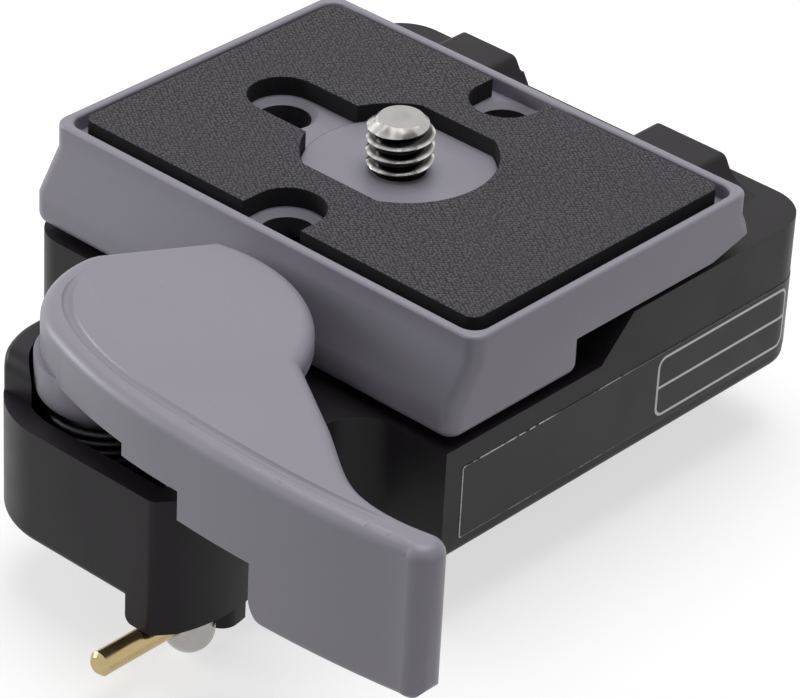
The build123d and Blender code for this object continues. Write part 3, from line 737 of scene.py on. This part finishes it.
def thread_profile(pitch, depth, radius):
    """One pitch of a rolled thread, from root to root, as radius and height."""
    return [
        (radius - depth, 0.0), (radius - depth, 0.10 * pitch), (radius - 0.12 * depth, 0.42 * pitch),
        (radius, 0.47 * pitch), (radius, 0.53 * pitch), (radius - 0.12 * depth, 0.58 * pitch),
        (radius - depth, 0.90 * pitch), (radius - depth, pitch),
    ]


def spin_up(bm, geom, pitch, turns, steps):
    """Winds a profile up round Z."""
    bmesh.ops.spin(
        bm, geom=geom, cent=(0, 0, 0), axis=(0, 0, 1), dvec=(0, 0, pitch / steps),
        angle=2 * math.pi * turns, steps=steps * turns, use_merge=False)


def spin_thread(pitch, depth, radius, low, turns):
    """A thread's surface: one pitch of its profile wound up round Z."""
    bm = bmesh.new()
    verts = [bm.verts.new((r, 0.0, low + z)) for r, z in thread_profile(pitch, depth, radius)]
    edges = [bm.edges.new(pair) for pair in zip(verts, verts[1:])]
    spin_up(bm, verts + edges, pitch, turns, THREAD_STEPS)
    bmesh.ops.remove_doubles(bm, verts=bm.verts, dist=0.004 * MM)
    return bm


def cut_level(bm, height, keep_below):
    """Cuts an open surface at a height and closes it with a flat face."""
    side = 1.0 if keep_below else -1.0
    cut = bmesh.ops.bisect_plane(
        bm, geom=bm.verts[:] + bm.edges[:] + bm.faces[:], dist=WELD, plane_co=(0, 0, height),
        plane_no=(0, 0, side), clear_outer=True)
    rim = [e for e in cut["geom_cut"] if isinstance(e, bmesh.types.BMEdge)]
    bmesh.ops.edgeloop_fill(bm, edges=rim)


def close_ends(bm):
    """Closes a tube's open ends and turns its faces outward."""
    bmesh.ops.holes_fill(bm, edges=[e for e in bm.edges if e.is_boundary], sides=0)
    bmesh.ops.recalc_face_normals(bm, faces=bm.faces)


class QUICKPLATE_OT_camera_screw(bpy.types.Operator):
    """Camera screw with its rolled thread, neck, slotted head and cross hole"""

    bl_idname = "quick_plate.camera_screw"
    bl_label = "Camera screw"

    def execute(self, context):
        sizes = settings().thread
        low = PAD_LOW.z + sizes.neck
        high = SCREW_HIGH.z
        start = high - sizes.first_groove - (sizes.turns + 1) * sizes.pitch
        bm = spin_thread(sizes.pitch, sizes.depth, sizes.radius, start, sizes.turns + 3)
        for vert in bm.verts:
            reach = vert.co.xy.length
            limit = sizes.radius - max(0.0, vert.co.z - (high - sizes.lead)) * sizes.lead_slope
            limit = min(limit, sizes.radius - max(0.0, low + sizes.run_out - vert.co.z))
            if reach > limit:
                vert.co.xy *= limit / reach
        cut_level(bm, high, True)
        cut_level(bm, low, False)
        bmesh.ops.recalc_face_normals(bm, faces=bm.faces)
        piece = finish_mesh(bm, "camera_screw_thread", THREAD_SMOOTH)
        stem = merged_copy("camera_screw")
        cut_level(stem, low - STEM_GAP, True)
        body = finish_mesh(stem, "camera_screw_head", THREAD_SMOOTH)
        # The screw's nickel carries painted shade in the thread's roots and painted reflections on its
        # side
        nickel = turned_metal(
            "bright_nickel", "bright_steel", settings().colours.nickel, 0.16,
            roots=(sizes.radius - 0.4 * MM, sizes.radius - 0.04 * MM, high - sizes.lead, high))
        dress(body, nickel, "screw", "camera_screw")
        dress(piece, nickel, "screw")
        return {"FINISHED"}


class QUICKPLATE_OT_bushing_thread(bpy.types.Operator):
    """Quarter inch thread in the tripod bushing's reducer"""

    bl_idname = "quick_plate.bushing_thread"
    bl_label = "Bushing thread"

    def execute(self, context):
        sizes = settings().thread
        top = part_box("reducer_bushing")[1].z
        turns = math.ceil((top - sizes.nut_low) / sizes.pitch) + 2
        bm = bmesh.new()
        start = sizes.nut_low - sizes.pitch
        root, crest = sizes.radius + 0.04 * MM, sizes.radius - sizes.nut_depth
        profile = [(root, -0.47), (crest, -0.08), (crest, 0.08), (root, 0.47)]
        verts = [bm.verts.new((r, 0.0, start + h * sizes.pitch)) for r, h in profile]
        edges = [bm.edges.new(pair) for pair in zip(verts, verts[1:] + verts[:1])]
        spin_up(bm, verts + edges, sizes.pitch, turns, NUT_STEPS)
        close_ends(bm)
        cut_level(bm, top - 0.02 * MM, True)
        cut_level(bm, sizes.nut_low, False)
        piece = finish_mesh(bm, "bushing_thread", THREAD_SMOOTH)
        dress(piece, drawn_metal("cut_steel", "plain_steel", (0.50, 0.50, 0.52), 0.28), "base")
        return {"FINISHED"}


class QUICKPLATE_OT_springs(bpy.types.Operator):
    """Lever's torsion spring and the two pins' compression springs, wound from round wire"""

    bl_idname = "quick_plate.springs"
    bl_label = "Springs"

    def execute(self, context):
        sizes = settings().springs
        # Painted shade: the wire is made near black so the springs read as dark as the shade in the cup
        shaded_wire_finish = drawn_metal("shaded_spring_wire", "spring_steel", (0.045, 0.045, 0.05), 0.40)
        for name, node, wire, turns in (
            ("lever_coil", "lever_spring", sizes.lever_wire, sizes.lever_turns),
            ("safety_coil", "safety_spring", sizes.safety_wire, sizes.safety_turns),
            ("trigger_coil", "trigger_spring", sizes.trigger_wire, sizes.trigger_turns),
        ):
            low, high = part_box(node)
            middle = low.lerp(high, 0.5)
            mean = (high.x - low.x) / 2 - wire
            pitch = (high.z - low.z - 2 * wire) / turns
            start = Matrix.Translation((mean, 0, low.z + wire)) @ Matrix.Rotation(math.pi / 2, 4, "X")
            bm = bmesh.new()
            bmesh.ops.create_circle(bm, segments=WIRE_SIDES, radius=wire, matrix=start)
            spin_up(bm, bm.verts[:] + bm.edges[:], pitch, turns, COIL_STEPS)
            close_ends(bm)
            bmesh.ops.translate(bm, verts=bm.verts, vec=(middle.x, middle.y, 0))
            body = FRAME["nodes"][node]["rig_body"]
            piece = dress(finish_mesh(bm, name, 60.0), shaded_wire_finish, body, node)
            for joint in FRAME["joints"]:
                if node in [row["node"] for row in joint.get("deforming_nodes", [])]:
                    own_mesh(piece)
        return {"FINISHED"}


def flat_card(x, near, length, low, high, rounding=0.0):
    """An upright card facing +X, with corners rounded by a radius."""
    bm = bmesh.new()
    bmesh.ops.create_grid(
        bm, x_segments=1, y_segments=1, size=0.5, matrix=Matrix.Rotation(math.radians(90), 4, "Y"))
    bmesh.ops.scale(bm, verts=bm.verts, vec=(1.0, length, high - low))
    bmesh.ops.translate(bm, verts=bm.verts, vec=(x, near + length / 2, (low + high) / 2))
    if rounding:
        bmesh.ops.bevel(
            bm, geom=bm.verts[:], offset=rounding, offset_type="OFFSET", segments=8, profile=0.5,
            affect="VERTICES", material=-1)
    return bm


def thicken(bm, thick):
    """Gives a sheet that faces +X its thickness."""
    extruded = bmesh.ops.extrude_face_region(bm, geom=bm.faces[:], use_keep_orig=True)["geom"]
    front = [v for v in extruded if isinstance(v, bmesh.types.BMVert)]
    bmesh.ops.translate(bm, verts=front, vec=(thick, 0, 0))
    bmesh.ops.recalc_face_normals(bm, faces=bm.faces)


def wrap_corner(bm, radius, step=math.radians(4)):
    """Bends what lies past the base's flat end round its far corner."""
    start = BASE_HIGH.y - radius
    middle = BASE_HIGH.x - radius
    reach = max(vert.co.y for vert in bm.verts)
    cut = start
    while cut < reach:
        bmesh.ops.bisect_plane(
            bm, geom=bm.verts[:] + bm.edges[:] + bm.faces[:], dist=WELD, plane_co=(0, cut, 0),
            plane_no=(0, 1, 0))
        cut += radius * step
    for vert in bm.verts:
        if vert.co.y > start:
            turn = (vert.co.y - start) / radius
            out = vert.co.x - middle
            vert.co.x = middle + out * math.cos(turn)
            vert.co.y = start + out * math.sin(turn)


class QUICKPLATE_OT_end_label(bpy.types.Operator):
    """Bare film label on the base's end with a plain printed frame"""

    bl_idname = "quick_plate.end_label"
    bl_label = "End label"

    def execute(self, context):
        sizes = settings().label
        film = flat_card(
            BASE_HIGH.x - sizes.thick, sizes.near, sizes.length, sizes.low, sizes.high, sizes.film_corner)
        hem = bmesh.ops.inset_region(film, faces=film.faces[:], thickness=sizes.hem, use_boundary=True)
        for face in hem["faces"]:
            face.material_index = 1
        thicken(film, 2 * sizes.thick)
        wrap_corner(film, sizes.bend)
        piece = dress(finish_mesh(film, "end_label"), label_film(), "base")
        piece.data.materials.append(label_hem().material)
        low, high = sizes.low + sizes.frame_edge, sizes.high - sizes.frame_edge
        face_x = BASE_HIGH.x + sizes.thick
        frame = flat_card(face_x, sizes.frame_near, sizes.frame_length, low, high, sizes.frame_corner)
        inside = frame.faces[:]
        bmesh.ops.inset_region(frame, faces=inside, thickness=sizes.line, use_boundary=True)
        bmesh.ops.delete(frame, geom=inside, context="FACES")
        middle = (low + high) / 2
        divider = flat_card(
            face_x, sizes.frame_near + sizes.line, sizes.frame_length - 2 * sizes.line,
            middle - sizes.line / 2, middle + sizes.line / 2)
        ink = white_print()
        for name, bm in (("label_frame", frame), ("label_divider", divider)):
            thicken(bm, sizes.ink)
            wrap_corner(bm, sizes.bend)
            dress(finish_mesh(bm, name), ink, "base")
        return {"FINISHED"}


def paint_node(node, finish):
    """Gives a CAD node's own object a finish."""
    node_object = FRAME["nodes"][node]
    node_object.data.materials.clear()
    node_object.data.materials.append(finish.material)


class QUICKPLATE_OT_small_parts(bpy.types.Operator):
    """Plunger, pins, clips, washers, ring and tripod bushings"""

    bl_idname = "quick_plate.small_parts"
    bl_label = "Small parts"

    def execute(self, context):
        colours = settings().colours
        steel = drawn_metal("plain_steel", "plain_steel", (0.52, 0.52, 0.54), 0.32)
        brass = drawn_metal("drawn_brass", "brass", colours.brass, 0.20)
        plunger = corner("safety_plunger", 0).lerp(corner("safety_plunger", 1), 0.5)
        nickel = turned_metal(
            "plunger_nickel", "bright_steel", shade(colours.nickel, 0.95), 0.30, (plunger.x, plunger.y))
        black = nylon()
        for finish, nodes in (
            (steel, ("d_ring", "pivot_washer", "pivot_screw", "safety_clip", "trigger_clip",
                     "tripod_bushing", "reducer_bushing")),
            (brass, ("safety_pin", "trigger_pin")),
            (nickel, ("safety_plunger",)),
            (black, ("screw_washer", "thrust_washer")),
        ):
            for node in nodes:
                paint_node(node, finish)
        return {"FINISHED"}


def camera_turn(azimuth, elevation, roll):
    """The camera's turn for a direction round the object and a tilt of the picture."""
    back = Vector((math.sin(azimuth) * math.cos(elevation), -math.cos(azimuth) * math.cos(elevation),
                   math.sin(elevation)))
    right = Vector((math.cos(azimuth), math.sin(azimuth), 0.0))
    up = back.cross(right)
    tilted_right = right * math.cos(roll) + up * math.sin(roll)
    tilted_up = up * math.cos(roll) - right * math.sin(roll)
    return Matrix((tilted_right, tilted_up, back)).transposed().to_4x4()


class QUICKPLATE_OT_stage(bpy.types.Operator):
    """Pale floor and backdrop, soft lamps and the camera"""

    bl_idname = "quick_plate.stage"
    bl_label = "Stage"

    def add_lamp(self, name, place, width, power):
        """A soft round lamp that faces the object."""
        light = bpy.data.lights.new(name, "AREA")
        light.shape = "DISK"
        light.size = width
        light.energy = power
        lamp = bpy.data.objects.new(name, light)
        lamp.location = place
        lamp.rotation_mode = "QUATERNION"
        lamp.rotation_quaternion = (Vector(LAMP_AIM) - Vector(place)).to_track_quat("-Z", "Y")
        bpy.context.scene.collection.objects.link(lamp)

    def add_floor(self, colour, strength):
        """A floor just below the object, lighter where it is seen or mirrored."""
        f = Finish("pale_floor", "nylon", Roughness=0.9, Specular_IOR_Level=0.1)
        rays = f.tree.nodes.new("ShaderNodeLightPath")
        camera, glossy, transmission = [Term(f, rays.outputs[kind]) for kind in SEEING_RAYS]
        seen = camera + glossy + transmission
        here = f.place()
        clouds = f.noise(here, 3.0)
        f.drive("Base Color", f.mix(clouds, shade(colour, 0.99), colour))
        glow = f.add("ShaderNodeEmission", {}, {"Color": (1.0, 1.0, 1.0), "Strength": strength})
        both = f.tree.nodes.new("ShaderNodeAddShader")
        f.tree.links.new(f.shader.outputs[0], both.inputs[0])
        f.tree.links.new(glow.socket, both.inputs[1])
        mix = f.tree.nodes.new("ShaderNodeMixShader")
        f.join(f.least(seen, 1.0), mix.inputs[0])
        f.tree.links.new(f.shader.outputs[0], mix.inputs[1])
        f.tree.links.new(both.outputs[0], mix.inputs[2])
        f.tree.links.new(mix.outputs[0], f.tree.nodes["Material Output"].inputs[0])
        level = BASE_LOW.z
        for node in ("safety_plunger", "safety_pin"):
            level = min(level, corner(node, 0).z)
        bm = bmesh.new()
        bmesh.ops.create_grid(bm, x_segments=8, y_segments=8, size=3.0)
        bmesh.ops.translate(bm, verts=bm.verts, vec=(0, 0, level - 0.02 * MM))
        mesh = bpy.data.meshes.new("floor")
        bm.to_mesh(mesh)
        bm.free()
        floor = new_object("floor", mesh)
        floor.data.materials.append(f.material)

    def add_world(self, strength):
        """Even white light from all round, which is seen and mirrored as plain white."""
        world = bpy.data.worlds.new("studio")
        world.use_nodes = True
        nodes = world.node_tree.nodes
        links = world.node_tree.links
        white = (1.0, 1.0, 1.0, 1.0)
        nodes["Background"].inputs[0].default_value = white
        nodes["Background"].inputs[1].default_value = strength
        seen = nodes.new("ShaderNodeBackground")
        seen.inputs[0].default_value = white
        seen.inputs[1].default_value = 1.0
        rays = nodes.new("ShaderNodeLightPath")
        mix = nodes.new("ShaderNodeMixShader")
        first, second = nodes.new("ShaderNodeMath"), nodes.new("ShaderNodeMath")
        links.new(first.outputs[0], second.inputs[0])
        for kind, socket in zip(SEEING_RAYS, (first.inputs[0], first.inputs[1], second.inputs[1])):
            links.new(rays.outputs[kind], socket)
        links.new(second.outputs[0], mix.inputs[0])
        links.new(nodes["Background"].outputs[0], mix.inputs[1])
        links.new(seen.outputs[0], mix.inputs[2])
        links.new(mix.outputs[0], nodes["World Output"].inputs[0])
        bpy.context.scene.world = world

    def add_camera(self, stage):
        """The camera that took the photograph, from its place, direction and tilt."""
        data = bpy.data.cameras.new("camera")
        data.lens = stage.lens
        data.sensor_width = 36.0
        data.clip_start = 0.01
        camera = bpy.data.objects.new("camera", data)
        camera.matrix_world = Matrix.Translation(Vector(stage.place)) @ camera_turn(
            stage.azimuth, stage.elevation, stage.roll)
        bpy.context.scene.collection.objects.link(camera)
        bpy.context.scene.camera = camera

    def execute(self, context):
        stage = settings().stage
        context.scene.view_settings.view_transform = "Standard"
        self.add_floor(tuple(stage.floor_colour), stage.floor_glow)
        self.add_world(stage.even_light)
        for lamp in LAMPS:
            self.add_lamp(*lamp)
        self.add_camera(stage)
        return {"FINISHED"}


class QuickPlateSettings(bpy.types.PropertyGroup):
    """All sizes and colours of the quick release plate."""

    castings: PointerProperty(type=CastingSizes)
    thread: PointerProperty(type=ThreadSizes)
    label: PointerProperty(type=LabelSizes)
    springs: PointerProperty(type=SpringSizes)
    pad: PointerProperty(type=PadGrain)
    colours: PointerProperty(type=FinishColours)
    stage: PointerProperty(type=StageSizes)


STEPS = (
    QUICKPLATE_OT_castings, QUICKPLATE_OT_pad, QUICKPLATE_OT_camera_screw, QUICKPLATE_OT_bushing_thread,
    QUICKPLATE_OT_springs, QUICKPLATE_OT_end_label, QUICKPLATE_OT_small_parts, QUICKPLATE_OT_stage,
)


class QUICKPLATE_PT_panel(bpy.types.Panel):
    """Lists the steps that dress the plate"""

    bl_idname = "QUICKPLATE_PT_panel"
    bl_label = "Quick release plate"
    bl_space_type = "VIEW_3D"
    bl_region_type = "UI"
    bl_category = "Quick plate"

    def draw(self, context):
        for step in STEPS:
            self.layout.operator(step.bl_idname)


CLASSES = (
    CastingSizes, ThreadSizes, LabelSizes, SpringSizes, PadGrain, FinishColours, StageSizes,
    QuickPlateSettings, *STEPS, QUICKPLATE_PT_panel,
)


def register():
    for cls in CLASSES:
        bpy.utils.register_class(cls)
    bpy.types.Scene.quick_plate = PointerProperty(type=QuickPlateSettings)


def unregister():
    del bpy.types.Scene.quick_plate
    for cls in reversed(CLASSES):
        bpy.utils.unregister_class(cls)


def main():
    register()
    bpy.ops.quick_plate.castings()
    bpy.ops.quick_plate.pad()
    bpy.ops.quick_plate.camera_screw()
    bpy.ops.quick_plate.bushing_thread()
    bpy.ops.quick_plate.springs()
    bpy.ops.quick_plate.end_label()
    bpy.ops.quick_plate.small_parts()
    bpy.ops.quick_plate.stage()


if __name__ == "__main__":
    main()
